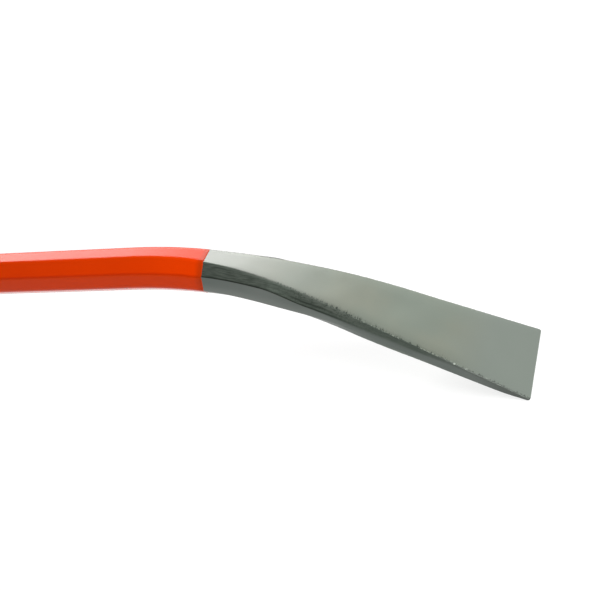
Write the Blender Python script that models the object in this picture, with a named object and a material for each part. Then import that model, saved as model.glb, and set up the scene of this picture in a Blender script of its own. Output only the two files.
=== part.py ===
"""Wrecking bar forged from octagonal steel: painted shaft, bare chisel end and bare split claw.

The real bar is one forging, so its three bodies are lofted through rings on one centre line and
share the rings where the paint ends. Lengths called a run are measured along that centre line,
outward from the end of the straight shaft. Across the bar, y is its width and n its height: n
points up on the shaft, and to the outside of the bend at either end.
"""

import math
from collections import namedtuple

import bmesh
import bpy
from mathutils import Matrix, Vector

MM = 0.001

# Octagonal stock
OVERALL_LENGTH = 600 * MM
STOCK_ACROSS_FLATS = 18 * MM
STOCK_ARRIS = 0.9 * MM
GROUND_ARRIS = 0.35 * MM
ARRIS_BLEND = 6 * MM

# Chisel end, along the bar
CHISEL_BEND_RADIUS = 217 * MM
CHISEL_BEND_ANGLE = math.radians(26.5)
CHISEL_RUN = 177.7 * MM
CHISEL_PAINT_RUN = 35 * MM
FACE_SPREAD_START = 6.5 * MM
FACE_SPREAD_END = 121.5 * MM
FLATTENING_START = 16 * MM
FLATTENING_END = 99.5 * MM
BLADE_FLARE_START = 39.5 * MM
BLADE_TAPER_START = 91.5 * MM
UPPER_GRIND_START = 60 * MM
UPPER_GRIND_END = 80 * MM
LOWER_GRIND_START = 65 * MM
LOWER_GRIND_END = 101.5 * MM
CORNER_FADE_START = 127 * MM
CORNER_FADE_END = 153 * MM
EDGE_GRIND_LENGTH = 14.8 * MM
TIP_CORNER_RADIUS = 1.2 * MM

# Chisel end, across the bar
BLADE_THICKNESS = 9.5 * MM
BLADE_TIP_THICKNESS = 2.3 * MM
CHISEL_EDGE_LAND = 0.8 * MM
BLADE_HEEL_WIDTH = 22.2 * MM
BLADE_TIP_WIDTH = 43.1 * MM
BLADE_FLARE_POWER = 1.44
GROUND_SIDE_HEIGHT = 2.7 * MM
LEAST_CHAMFER = 0.22 * MM

# Claw end, along the bar
HOOK_RADIUS = 30 * MM
HOOK_ANGLE = math.radians(135)
CLAW_CURVE_RADIUS = 166 * MM
CLAW_LENGTH = 58 * MM
CLAW_BARE_LENGTH = 72 * MM
CLAW_FORGING_LEAD = 26 * MM
CLAW_EDGE_GRIND_LENGTH = 12 * MM
CLAW_CORNER_RADIUS = 4 * MM

# Claw end, across the bar
CLAW_ROOT_THICKNESS = 15 * MM
CLAW_TIP_THICKNESS = 3.4 * MM
CLAW_EDGE_LAND = 1.2 * MM
CLAW_ROOT_WIDTH = 21 * MM
CLAW_TIP_WIDTH = 38 * MM
CLAW_FLARE_POWER = 1.3

# Nail slot in the claw
SLOT_LENGTH = 36 * MM
SLOT_MOUTH_WIDTH = 14 * MM
SLOT_ROOT_WIDTH = 4.6 * MM
SLOT_WALL_DRAFT = math.radians(14)
SLOT_ROOT_POINTS = 10
CUTTER_OVERSHOOT = 6 * MM

# Facets
RING_SPACING = 3.5 * MM
HOOK_RING_SPACING = 2.8 * MM
ARRIS_POINTS = 3
CORNER_RINGS = 4
SMALLEST_STEP = 0.02 * MM

COLLECTION_NAME = "crowbar"
CUTTER_COLLECTION_NAME = "crowbar_cutters"

Section = namedtuple("Section", "half_width up down face side_up side_down arris")
Station = namedtuple("Station", "x z pitch")


def smooth(value, start, end):
    """Ease from 0 at start to 1 at end."""
    share = min(max((value - start) / (end - start), 0.0), 1.0)
    return share * share * (3 - 2 * share)


def ramp(value, start, end):
    """Rise straight from 0 at start to 1 at end."""
    return min(max((value - start) / (end - start), 0.0), 1.0)


def mix(first, second, share):
    return first + (second - first) * share


def corner_inset(run, tip_run, radius):
    """How far a rounded tip corner draws the side in."""
    into_corner = max(run - (tip_run - radius), 0.0)
    return radius - math.sqrt(max(radius * radius - into_corner * into_corner, 0.0))


def stock_half():
    return STOCK_ACROSS_FLATS / 2


def stock_facet_half():
    return stock_half() * math.tan(math.pi / 8)


def claw_run():
    return HOOK_RADIUS * HOOK_ANGLE + CLAW_LENGTH


def claw_paint_run():
    return claw_run() - CLAW_BARE_LENGTH


def chisel_reach():
    """Length that the chisel end adds to the bar along the shaft's direction."""
    blade = CHISEL_RUN - CHISEL_BEND_RADIUS * CHISEL_BEND_ANGLE
    return CHISEL_BEND_RADIUS * math.sin(CHISEL_BEND_ANGLE) + blade * math.cos(CHISEL_BEND_ANGLE)


def straight_length():
    return OVERALL_LENGTH - chisel_reach() - HOOK_RADIUS - stock_half()


def chisel_station(run):
    """Centre line past the straight shaft: an arc downward, then a straight blade."""
    arc = CHISEL_BEND_RADIUS * CHISEL_BEND_ANGLE
    angle = min(run, arc) / CHISEL_BEND_RADIUS
    beyond = max(run - arc, 0.0)
    x = CHISEL_BEND_RADIUS * math.sin(angle) + beyond * math.cos(angle)
    z = -CHISEL_BEND_RADIUS * (1 - math.cos(angle)) - beyond * math.sin(angle)
    return Station(x, z, angle)


def claw_station(run):
    """Centre line of the hook: a tight arc down and back, then the gently curved claw."""
    arc = HOOK_RADIUS * HOOK_ANGLE
    angle = min(run, arc) / HOOK_RADIUS
    x = -HOOK_RADIUS * math.sin(angle)
    z = -HOOK_RADIUS * (1 - math.cos(angle))
    turn = max(run - arc, 0.0) / CLAW_CURVE_RADIUS
    x += CLAW_CURVE_RADIUS * (math.sin(angle) - math.sin(angle + turn))
    z -= CLAW_CURVE_RADIUS * (math.cos(angle) - math.cos(angle + turn))
    return Station(x - straight_length(), z, -(angle + turn))


def least_land(thickness):
    """Half height that a side facet keeps where the bar gets thin."""
    return max(thickness - LEAST_CHAMFER, thickness * 0.6)


def chisel_side(ground, faded, thickness):
    """Half height of the blade's side facet, low where its corner is ground away."""
    side = mix(stock_facet_half(), GROUND_SIDE_HEIGHT / 2, ground)
    return min(mix(side, least_land(thickness), faded), least_land(thickness))


def chisel_section(run):
    """Octagon pressed flat, spread to the blade, ground at its corners and sharpened below."""
    pressed = smooth(run, FLATTENING_START, FLATTENING_END)
    thinned = ramp(run, BLADE_TAPER_START, CHISEL_RUN)
    half_thickness = mix(stock_half(), BLADE_THICKNESS / 2, pressed)
    half_thickness -= (BLADE_THICKNESS - BLADE_TIP_THICKNESS) / 2 * thinned
    sharpened = ramp(run, CHISEL_RUN - EDGE_GRIND_LENGTH, CHISEL_RUN) ** 2
    down = half_thickness - (BLADE_TIP_THICKNESS - CHISEL_EDGE_LAND) * sharpened

    flare = ramp(run, BLADE_FLARE_START, CHISEL_RUN) ** BLADE_FLARE_POWER
    half_width = mix(stock_half(), BLADE_HEEL_WIDTH / 2, pressed)
    half_width += (BLADE_TIP_WIDTH - BLADE_HEEL_WIDTH) / 2 * flare
    spread = smooth(run, FACE_SPREAD_START, FACE_SPREAD_END)
    face = mix(stock_facet_half(), half_width - LEAST_CHAMFER, spread)

    faded = smooth(run, CORNER_FADE_START, CORNER_FADE_END)
    ground_above = smooth(run, UPPER_GRIND_START, UPPER_GRIND_END)
    ground_below = smooth(run, LOWER_GRIND_START, LOWER_GRIND_END)
    side_up = chisel_side(ground_above, faded, half_thickness)
    side_down = chisel_side(ground_below, faded, down)

    inset = corner_inset(run, CHISEL_RUN, TIP_CORNER_RADIUS)
    sharper = smooth(run, CHISEL_PAINT_RUN, CHISEL_PAINT_RUN + ARRIS_BLEND)
    arris = mix(STOCK_ARRIS, GROUND_ARRIS, sharper)
    return Section(half_width - inset, half_thickness, down, face - inset, side_up, side_down, arris)


def claw_section(run):
    """Octagon drawn out to a broad thin claw, sharpened on its inner face."""
    arc = HOOK_RADIUS * HOOK_ANGLE
    forged = smooth(run, arc - CLAW_FORGING_LEAD, arc)
    thinned = ramp(run, arc, claw_run())
    half_thickness = mix(stock_half(), CLAW_ROOT_THICKNESS / 2, forged)
    half_thickness -= (CLAW_ROOT_THICKNESS - CLAW_TIP_THICKNESS) / 2 * thinned
    sharpened = ramp(run, claw_run() - CLAW_EDGE_GRIND_LENGTH, claw_run())
    down = half_thickness - (CLAW_TIP_THICKNESS - CLAW_EDGE_LAND) * sharpened

    half_width = mix(stock_half(), CLAW_ROOT_WIDTH / 2, forged)
    half_width += (CLAW_TIP_WIDTH - CLAW_ROOT_WIDTH) / 2 * thinned ** CLAW_FLARE_POWER
    spread = smooth(run, arc - CLAW_FORGING_LEAD, claw_run())
    face = mix(stock_facet_half(), half_width - LEAST_CHAMFER, spread)
    side_up = min(stock_facet_half(), least_land(half_thickness))
    side_down = min(stock_facet_half(), least_land(down))

    inset = corner_inset(run, claw_run(), CLAW_CORNER_RADIUS)
    sharper = smooth(run, claw_paint_run(), claw_paint_run() + ARRIS_BLEND)
    arris = mix(STOCK_ARRIS, GROUND_ARRIS, sharper)
    return Section(half_width - inset, half_thickness, down, face - inset, side_up, side_down, arris)


def rounded_corner(before, corner, after, radius):
    """Points that round one corner of the section, from its first side to its next."""
    to_before = before - corner
    to_after = after - corner
    reach = min(radius, 0.3 * to_before.length, 0.3 * to_after.length)
    first = corner + to_before.normalized() * reach
    last = corner + to_after.normalized() * reach
    points = []
    for index in range(ARRIS_POINTS):
        share = index / (ARRIS_POINTS - 1)
        points.append(first.lerp(corner, share).lerp(corner.lerp(last, share), share))
    return points


def section_outline(section):
    """The eight-sided section as points (y, n), with its arrises rounded."""
    corners = [
        Vector((section.face, section.up)),
        Vector((section.half_width, section.side_up)),
        Vector((section.half_width, -section.side_down)),
        Vector((section.face, -section.down)),
        Vector((-section.face, -section.down)),
        Vector((-section.half_width, -section.side_down)),
        Vector((-section.half_width, section.side_up)),
        Vector((-section.face, section.up)),
    ]
    points = []
    for index, corner in enumerate(corners):
        following = corners[(index + 1) % len(corners)]
        points += rounded_corner(corners[index - 1], corner, following, section.arris)
    return points


def place(station, point):
    """A section point (y, n) at its place on the centre line."""
    rise = Vector((math.sin(station.pitch), 0, math.cos(station.pitch)))
    return Vector((station.x, point[0], station.z)) + rise * point[1]


def ring(station, section):
    return [place(station, point) for point in section_outline(section)]


def spaced(start, end, spacing):
    """Runs from start up to but without end, in equal steps near the given spacing."""
    if end - start < SMALLEST_STEP:
        return []
    count = max(1, math.ceil((end - start) / spacing))
    return [mix(start, end, index / count) for index in range(count)]


def runs_between(start, end, breaks, spacing):
    """Runs from start to end that also stop at each break in the form."""
    stops = sorted(stop for stop in breaks if start + SMALLEST_STEP < stop < end - SMALLEST_STEP)
    runs = []
    for near, far in zip([start] + stops, stops + [end]):
        runs += spaced(near, far, spacing)
    return runs + [end]


def corner_runs(tip_run, radius):
    """Runs round a tip corner, at equal angles."""
    steps = range(CORNER_RINGS)
    return [tip_run - radius * (1 - math.sin(math.pi / 2 * step / CORNER_RINGS)) for step in steps]


def chisel_rings(start, end):
    breaks = [
        FACE_SPREAD_START,
        UPPER_GRIND_START,
        UPPER_GRIND_END,
        BLADE_TAPER_START,
        CHISEL_BEND_RADIUS * CHISEL_BEND_ANGLE,
        CHISEL_RUN - EDGE_GRIND_LENGTH,
    ]
    breaks += corner_runs(CHISEL_RUN, TIP_CORNER_RADIUS)
    runs = runs_between(start, end, breaks, RING_SPACING)
    return [ring(chisel_station(run), chisel_section(run)) for run in runs]


def claw_rings(start, end):
    breaks = [HOOK_RADIUS * HOOK_ANGLE, claw_run() - CLAW_EDGE_GRIND_LENGTH]
    breaks += corner_runs(claw_run(), CLAW_CORNER_RADIUS)
    runs = runs_between(start, end, breaks, HOOK_RING_SPACING)
    return [ring(claw_station(run), claw_section(run)) for run in runs]


def loft(name, rings):
    """Skin a closed body through rings that have equal numbers of points."""
    body = bmesh.new()
    loops = [[body.verts.new(point) for point in points] for points in rings]
    for near, far in zip(loops, loops[1:]):
        for index in range(len(near)):
            side = index - 1
            body.faces.new((near[side], near[index], far[index], far[side]))
    body.faces.new(loops[0])
    body.faces.new(loops[-1])
    bmesh.ops.recalc_face_normals(body, faces=body.faces)
    mesh = bpy.data.meshes.new(name)
    body.to_mesh(mesh)
    body.free()
    return mesh


def material(name, colour, metallic, roughness):
    finish = bpy.data.materials.new(name)
    finish.use_nodes = True
    shader = finish.node_tree.nodes["Principled BSDF"]
    shader.inputs["Base Color"].default_value = (*colour, 1)
    shader.inputs["Metallic"].default_value = metallic
    shader.inputs["Roughness"].default_value = roughness
    return finish


def enamel():
    return material("orange_enamel", (0.75, 0.05, 0.006), 0.0, 0.28)


def ground_steel(name):
    return material(name, (0.36, 0.38, 0.35), 1.0, 0.38)


def add_object(name, mesh, collection, frame, finish=None):
    piece = bpy.data.objects.new(name, mesh)
    collection.objects.link(piece)
    piece.parent = frame
    if finish:
        mesh.materials.append(finish)
        mesh.shade_smooth()
        mesh.set_sharp_from_angle(angle=math.radians(20))
    return piece


def painted_shaft():
    """Octagonal bar between the two paint edges, with the hook and the start of the bend."""
    hook = claw_rings(0.0, claw_paint_run())
    chisel_lead = chisel_rings(0.0, CHISEL_PAINT_RUN)
    return loft("painted_shaft", list(reversed(hook)) + chisel_lead)


def chisel_end():
    return loft("chisel_end", chisel_rings(CHISEL_PAINT_RUN, CHISEL_RUN))


def claw_end():
    return loft("claw_end", claw_rings(claw_paint_run(), claw_run()))


def slot_outline(widening):
    """Outline (run, y) of the nail slot: a round root that opens straight to the mouth."""
    root_radius = SLOT_ROOT_WIDTH / 2 + widening
    mouth_half = SLOT_MOUTH_WIDTH / 2 + widening
    root_centre = claw_run() - SLOT_LENGTH + SLOT_ROOT_WIDTH / 2
    slope = (SLOT_MOUTH_WIDTH - SLOT_ROOT_WIDTH) / 2 / (claw_run() - root_centre)
    beyond = claw_run() + CUTTER_OVERSHOOT
    open_half = mouth_half + slope * CUTTER_OVERSHOOT
    points = [(beyond, -open_half), (beyond, open_half)]
    for index in range(SLOT_ROOT_POINTS + 1):
        angle = math.pi * (0.5 + index / SLOT_ROOT_POINTS)
        points.append((root_centre + root_radius * math.cos(angle), root_radius * math.sin(angle)))
    return points


def slot_cutter():
    """Wedge with drafted walls, wider on the claw's inner face, where nail heads seat."""
    middle = claw_run() - SLOT_LENGTH / 2
    station = claw_station(middle)
    along = Vector((-math.cos(station.pitch), 0, math.sin(station.pitch)))
    reach = CLAW_ROOT_THICKNESS / 2 + CUTTER_OVERSHOOT
    rings = []
    for level in (reach, -reach):
        widening = math.tan(SLOT_WALL_DRAFT) * (CLAW_TIP_THICKNESS / 2 - level) / 2
        outline = slot_outline(widening)
        rings.append([place(station, (y, level)) + along * (run - middle) for run, y in outline])
    return loft("nail_slot_cutter", rings)


def cut(piece, cutter):
    cutter.hide_render = True
    cutter.display_type = "WIRE"
    opening = piece.modifiers.new("nail slot", "BOOLEAN")
    opening.operation = "DIFFERENCE"
    opening.solver = "EXACT"
    opening.object = cutter


def resting_tilt(claw_tip, chisel_tip):
    """Turn about Y that brings the two tips down to one level."""
    slope = 0.0
    for _ in range(4):
        turned = Matrix.Rotation(slope, 3, "Y")
        claw_low = min(claw_tip, key=lambda point: (turned @ point).z)
        chisel_low = min(chisel_tip, key=lambda point: (turned @ point).z)
        slope = math.atan2(chisel_low.z - claw_low.z, chisel_low.x - claw_low.x)
    return slope


def standing_frame(collection, meshes):
    """Empty that stands the bar on its two tips, with its box centred over the origin."""
    claw_tip = ring(claw_station(claw_run()), claw_section(claw_run()))
    chisel_tip = ring(chisel_station(CHISEL_RUN), chisel_section(CHISEL_RUN))
    turned = Matrix.Rotation(resting_tilt(claw_tip, chisel_tip), 4, "Y")
    points = [turned @ vertex.co for mesh in meshes for vertex in mesh.vertices]
    least_x = min(point.x for point in points)
    most_x = max(point.x for point in points)
    least_z = min(point.z for point in points)
    frame = bpy.data.objects.new("standing_frame", None)
    collection.objects.link(frame)
    frame.location = (-(least_x + most_x) / 2, 0, -least_z)
    frame.rotation_euler = turned.to_euler()
    return frame


def clear_scene():
    for piece in list(bpy.data.objects):
        bpy.data.objects.remove(piece, do_unlink=True)


def new_collection(name):
    collection = bpy.data.collections.new(name)
    bpy.context.scene.collection.children.link(collection)
    return collection


def main():
    clear_scene()
    bar = new_collection(COLLECTION_NAME)
    cutters = new_collection(CUTTER_COLLECTION_NAME)
    shaft_mesh = painted_shaft()
    chisel_mesh = chisel_end()
    claw_mesh = claw_end()
    frame = standing_frame(bar, [shaft_mesh, chisel_mesh, claw_mesh])
    add_object("painted_shaft", shaft_mesh, bar, frame, enamel())
    add_object("chisel_end", chisel_mesh, bar, frame, ground_steel("ground_chisel_steel"))
    claw = add_object("claw_end", claw_mesh, bar, frame, ground_steel("ground_claw_steel"))
    cut(claw, add_object("nail_slot_cutter", slot_cutter(), cutters, frame))


main()
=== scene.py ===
"""Wrecking bar on a pale studio floor: thick orange enamel over octagonal steel, with bare ground
ends. Each of the three pieces is skinned over its own centre line, whose points carry the sizes of
the octagonal section there. Lengths are in metres, and a run is measured along the centre line,
outward from the end of the straight shaft.
"""

import math
from collections import namedtuple

import bmesh
import bpy
from mathutils import Matrix, Vector


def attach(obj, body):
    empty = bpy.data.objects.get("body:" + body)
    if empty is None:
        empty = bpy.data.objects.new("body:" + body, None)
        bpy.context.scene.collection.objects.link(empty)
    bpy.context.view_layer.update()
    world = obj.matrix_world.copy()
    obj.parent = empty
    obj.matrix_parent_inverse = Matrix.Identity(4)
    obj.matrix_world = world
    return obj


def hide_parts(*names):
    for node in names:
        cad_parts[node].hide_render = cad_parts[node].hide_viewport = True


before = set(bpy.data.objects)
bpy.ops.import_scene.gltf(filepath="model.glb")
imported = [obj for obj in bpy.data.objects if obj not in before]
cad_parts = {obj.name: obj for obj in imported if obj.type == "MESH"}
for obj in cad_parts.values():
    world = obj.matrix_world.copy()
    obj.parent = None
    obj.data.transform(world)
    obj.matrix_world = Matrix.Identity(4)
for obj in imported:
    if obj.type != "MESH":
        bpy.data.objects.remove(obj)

MM = 0.001
PER_MM = 1000

# Octagonal stock
STOCK_HALF = 9 * MM
STOCK_ARRIS = 0.9 * MM
GROUND_ARRIS = 0.35 * MM
STRAIGHT_LENGTH = 394.96547 * MM

# Shares that an arris takes of the facet beside it, and a thin bar's side facet of its height
ARRIS_SHARE = 0.24
LEAST_LAND_SHARE = 0.6

# How the bar stands: the end of its straight shaft, and the fall of the shaft
SHAFT_END = Vector((0.1358108, 0.0, 0.0659128))
SHAFT_FALL = math.radians(3.0720415)

# Chisel end
CHISEL_BEND_RADIUS = 217 * MM
CHISEL_BEND_ANGLE = math.radians(26.5)
CHISEL_RUN = 177.7 * MM
CHISEL_PAINT_RUN = 35 * MM
FACE_SPREAD = (6.5 * MM, 121.5 * MM)
FLATTENING = (16 * MM, 99.5 * MM)
BLADE_FLARE_START = 39.5 * MM
BLADE_TAPER_START = 91.5 * MM
TAPER_BLEND = 18 * MM
UPPER_GRIND = (60 * MM, 80 * MM)
LOWER_GRIND = (65 * MM, 101.5 * MM)
CORNER_FADE = (127 * MM, 153 * MM)
EDGE_GRIND_LENGTH = 14.8 * MM
TIP_CORNER_RADIUS = 1.2 * MM
BLADE_HALF_THICKNESS = 4.75 * MM
BLADE_TIP_HALF_THICKNESS = 1.15 * MM
CHISEL_EDGE_LAND = 0.8 * MM
BLADE_HEEL_HALF = 11.1 * MM
BLADE_TIP_HALF = 21.55 * MM
BLADE_FLARE_POWER = 1.44
GROUND_SIDE_HALF = 1.35 * MM
LEAST_CHAMFER = 0.22 * MM

# Claw end
HOOK_RADIUS = 30 * MM
HOOK_ANGLE = math.radians(135)
CLAW_CURVE_RADIUS = 166 * MM
CLAW_LENGTH = 58 * MM
CLAW_BARE_LENGTH = 72 * MM
CLAW_FORGING_LEAD = 26 * MM
CLAW_EDGE_GRIND_LENGTH = 12 * MM
CLAW_CORNER_RADIUS = 4 * MM
CLAW_ROOT_HALF_THICKNESS = 7.5 * MM
CLAW_TIP_HALF_THICKNESS = 1.7 * MM
CLAW_EDGE_LAND = 1.2 * MM
CLAW_ROOT_HALF = 10.5 * MM
CLAW_TIP_HALF = 19 * MM
CLAW_FLARE_POWER = 1.3
SLOT_LENGTH = 36 * MM
SLOT_MOUTH_WIDTH = 14 * MM
SLOT_ROOT_WIDTH = 4.6 * MM
SLOT_WALL_DRAFT = math.radians(14)
SLOT_REACH = 14 * MM
SLOT_OVERSHOOT = 6 * MM
SLOT_ROOT_STEPS = 24

# The coat of enamel, its rounded lip, and the rounding of the bare ends' last edges
COAT = 0.17 * MM
COAT_SETBACK = 0.03 * MM
LIP_LENGTH = 0.4 * MM
LIP_CLEARANCE = 1 * MM
COAT_OVERLAP = 0.8 * MM
COAT_FADE = 25 * MM
END_ROUNDING = 0.25 * MM
ROUNDING_ANGLES = (0, 22, 45, 68, 90)
ARRIS_FADE = 4 * MM

# Crown of the ground faces: nearly flat in the middle, and sloping off beside the corners
CROWN_SLOPE = 0.12
CROWN_POWER = 5
CROWN_LEAD = 20 * MM
CROWN_FADE = 30 * MM
CROWN_WAVES = 1.4
CROWN_WAVE_LENGTH = 15 * MM

# Wander of the ground faces' borders and of the flanks' edges, as (face, flank) for each end
CHISEL_WANDER = (0.22 * MM, 0.12 * MM)
CLAW_WANDER = (0.1 * MM, 0.05 * MM)
WANDER_LENGTH = 1.6 * MM
WANDER_SEED = 3.0
WANDER_LEAD = 45 * MM
WANDER_FADE = 6 * MM

# Layers of the noise, so that faces, flanks, sides and crowns get patterns of their own
FACE_LAYER = 0.0
FLANK_LAYER = 9.7
SIDE_LAYER = 5.3
CROWN_LAYER = 0.013

# How finely the skin is divided along the bar and across its eight facets, what counts as the mark
# of a corner, and the angle from which an edge looks sharp
STRAIGHT_SPACING = 8 * MM
BEND_SPACING = 1.6 * MM
CHISEL_SPACING = 0.5 * MM
CLAW_SPACING = 1.2 * MM
PLAIN_COLUMNS = (3, 3, 3, 4, 3, 3, 3, 4)
FINE_COLUMNS = (3, 3, 3, 12, 3, 3, 3, 12)
ARRIS_SEGMENTS = 3
CORNER_MARK = 0.9
SHARP_ANGLE = math.radians(28)

# Enamel
ENAMEL_BODY = (0.80, 0.049, 0.0008, 1)
ENAMEL_CLOUD = (0.73, 0.042, 0.0006, 1)
# Painted shade for the enamel's side facets
ENAMEL_SIDE_SHADE = (0.62, 0.044, 0.0008, 1)
ENAMEL_ARRIS = (0.42, 0.016, 0.0006, 1)
ENAMEL_LIP = (0.30, 0.03, 0.004, 1)
ENAMEL_GLOSS = 0.45
ENAMEL_GLOSS_TINT = (0.3, 0.0, 0.0, 1)
ENAMEL_ROUGHNESS = 0.13
ENAMEL_STREAK_ROUGHNESS = 0.08

# Forge scale, and how much rougher it is than the steel
SCALE_PALE = (0.135, 0.158, 0.133, 1)
SCALE_DARK = (0.066, 0.080, 0.066, 1)
SCALE_WORN = (0.050, 0.062, 0.051, 1)
# Painted light on the upper part of the scale near the enamel
SCALE_CREST_LIGHT = (0.17, 0.20, 0.17, 1)
SCALE_PIT = (0.040, 0.050, 0.040, 1)
SCALE_LINE = (0.022, 0.028, 0.022, 1)
SCALE_NARROW = (0.074, 0.090, 0.075, 1)
SCALE_SHOULDER = (0.155, 0.172, 0.147, 1)
# Painted shade that darkens the arris above the scale
SCALE_ARRIS_SHADE = (0.018, 0.022, 0.018, 1)
SCALE_TIP = (0.110, 0.122, 0.110, 1)
SCALE_ROUGHNESS = 0.08

# Bare steel, and how far its grinding marks are drawn out along the bar
GROUND_COOL = (0.298, 0.342, 0.290, 1)
GROUND_WARM = (0.330, 0.352, 0.286, 1)
GROUND_TIP = (0.303, 0.344, 0.303, 1)
# Painted shade on the ground face near the enamel
GROUND_SHADE_BY_PAINT = (0.213, 0.220, 0.205, 1)
# Painted shade, with a smudged look, beside the scaled corner
GROUND_SMUDGE_AND_SHADE = (0.085, 0.100, 0.085, 1)
FLANK_COOL = (0.117, 0.134, 0.122, 1)
FLANK_WARM = (0.143, 0.160, 0.147, 1)
FLANK_LOW = (0.205, 0.220, 0.205, 1)
FLANK_TIP = (0.070, 0.075, 0.070, 1)
# Chips in the scale, partly painted glints
BRIGHT_CHIP_GLINT = (0.38, 0.42, 0.37, 1)
STEEL_ROUGHNESS = 0.38
GRAIN_ROUGHNESS = 0.10
GRINDING_DRAW = 0.10

# How far the teeth in the border of the ground face reach out, as a factor on their noise in mm
CHISEL_RAGGED = 7.0
CLAW_RAGGED = 4.0

# Floor, which glows more from the near to the far distance
FLOOR_HALF = 12.0
FLOOR_GLOW = 0.78
FAR_FLOOR = (0.6, 1.4)
FAR_FLOOR_GLOW = 0.17

# Middle of the chisel end's bend, which the lights face
BEND = Vector((0.13, 0.0, 0.08))

# Camera
SENSOR_WIDTH = 36
LENS_PIXELS = 1100
PICTURE_LONG_SIDE = 591
CAMERA_PLACE = Vector((0.3861205, -0.3409599, 0.3040831))
CAMERA_RIGHT = Vector((0.9185965, 0.2651172, -0.2930758))
CAMERA_DOWN = Vector((-0.0670947, -0.6262063, -0.7767650))

# Half widths of the section and of its flat faces, heights of the faces and of the side facet's edges
# above and below the centre line, and the reach of the arrises
Section = namedtuple("Section", "half_width up down face side_up side_down arris")

# One cut through the bar: where it is, the sizes of its section, its distances along the bar and
# past the enamel, and how far its borders wander and its ground faces stand out
Cut = namedtuple("Cut", "centre rise widths heights_up heights_down arris along bare wander crown")

# Attributes that shape the skin and are dropped from the finished mesh
SKIN_FIELDS = ("across", "above", "below", "corner", "bevel_weight_edge") + Cut._fields

SKIN_INPUTS = {
    "Centre Line": "NodeSocketGeometry",
    "Profile": "NodeSocketObject",
    "Face Wander": "NodeSocketFloat",
    "Flank Wander": "NodeSocketFloat",
    "Wander Length": "NodeSocketFloat",
    "Seed": "NodeSocketFloat",
    "Finish": "NodeSocketMaterial",
}


def smooth(value, span):
    """Ease from 0 to 1 over the span."""
    share = min(max((value - span[0]) / (span[1] - span[0]), 0.0), 1.0)
    return share * share * (3 - 2 * share)


def ramp(value, start, end):
    """Straight from 0 at the start to 1 at the end, and level beyond them."""
    return min(max((value - start) / (end - start), 0.0), 1.0)


def soft_ramp(value, start, end, blend):
    """Ramp whose start is eased over the blend to either side."""
    beyond = value - start
    if abs(beyond) < blend:
        beyond = (beyond + blend) ** 2 / (4 * blend)
    return min(max(beyond, 0.0) / (end - start), 1.0)


def mix(first, second, share):
    return first + (second - first) * share


def stock_facet_half():
    """Half the width of one facet of the octagonal stock."""
    return STOCK_HALF * math.tan(math.pi / 8)


def claw_run():
    """Run at the claw's tips."""
    return HOOK_RADIUS * HOOK_ANGLE + CLAW_LENGTH


def claw_paint_run():
    """Run where the enamel ends on the hook."""
    return claw_run() - CLAW_BARE_LENGTH


def corner_inset(run, tip_run, radius):
    """How far a rounded tip corner draws the side in."""
    into_corner = max(run - (tip_run - radius), 0.0)
    return radius - math.sqrt(max(radius * radius - into_corner * into_corner, 0.0))


def least_land(thickness):
    """Half height that a side facet keeps where the bar gets thin."""
    return min(max(thickness - LEAST_CHAMFER, thickness * LEAST_LAND_SHARE), thickness)


def fitted_arris(half_width, face, up, side_up, side_down):
    """Arris reach that leaves room on the narrowest facet beside it."""
    chamfer = math.hypot(half_width - face, up - side_up)
    return min(STOCK_ARRIS, ARRIS_SHARE * chamfer, ARRIS_SHARE * (side_up + side_down))


def chisel_station(run):
    """Centre and pitch past the straight shaft: an arc downward, then a straight blade."""
    arc = CHISEL_BEND_RADIUS * CHISEL_BEND_ANGLE
    angle = min(max(run, 0.0), arc) / CHISEL_BEND_RADIUS
    beyond = max(run - arc, 0.0)
    x = min(run, 0.0) + CHISEL_BEND_RADIUS * math.sin(angle) + beyond * math.cos(angle)
    z = -CHISEL_BEND_RADIUS * (1 - math.cos(angle)) - beyond * math.sin(angle)
    return x, z, angle


def claw_station(run):
    """Centre and pitch of the hook: a tight arc down and back, then the gently curved claw."""
    arc = HOOK_RADIUS * HOOK_ANGLE
    angle = min(run, arc) / HOOK_RADIUS
    turn = max(run - arc, 0.0) / CLAW_CURVE_RADIUS
    x = -HOOK_RADIUS * math.sin(angle)
    x += CLAW_CURVE_RADIUS * (math.sin(angle) - math.sin(angle + turn))
    z = -HOOK_RADIUS * (1 - math.cos(angle))
    z -= CLAW_CURVE_RADIUS * (math.cos(angle) - math.cos(angle + turn))
    return x - STRAIGHT_LENGTH, z, -(angle + turn)


def chisel_side(ground, faded, thickness):
    """Half height of the blade's side facet, low where its corner is ground away."""
    side = mix(stock_facet_half(), GROUND_SIDE_HALF, ground)
    return min(mix(side, least_land(thickness), faded), least_land(thickness))


def chisel_section(run):
    """Octagon pressed flat, spread to the blade, ground at its corners and sharpened below."""
    pressed = smooth(run, FLATTENING)
    thinned = soft_ramp(run, BLADE_TAPER_START, CHISEL_RUN, TAPER_BLEND)
    up = mix(STOCK_HALF, BLADE_HALF_THICKNESS, pressed)
    up -= (BLADE_HALF_THICKNESS - BLADE_TIP_HALF_THICKNESS) * thinned
    sharpened = ramp(run, CHISEL_RUN - EDGE_GRIND_LENGTH, CHISEL_RUN) ** 2
    down = up - (2 * BLADE_TIP_HALF_THICKNESS - CHISEL_EDGE_LAND) * sharpened

    flare = ramp(run, BLADE_FLARE_START, CHISEL_RUN) ** BLADE_FLARE_POWER
    half_width = mix(STOCK_HALF, BLADE_HEEL_HALF, pressed)
    half_width += (BLADE_TIP_HALF - BLADE_HEEL_HALF) * flare
    face = mix(stock_facet_half(), half_width - LEAST_CHAMFER, smooth(run, FACE_SPREAD))

    faded = smooth(run, CORNER_FADE)
    side_up = chisel_side(smooth(run, UPPER_GRIND), faded, up)
    side_down = chisel_side(smooth(run, LOWER_GRIND), faded, down)
    inset = corner_inset(run, CHISEL_RUN, TIP_CORNER_RADIUS)
    arris = fitted_arris(half_width, face, up, side_up, side_down)
    return Section(half_width - inset, up, down, face - inset, side_up, side_down, arris)


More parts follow.
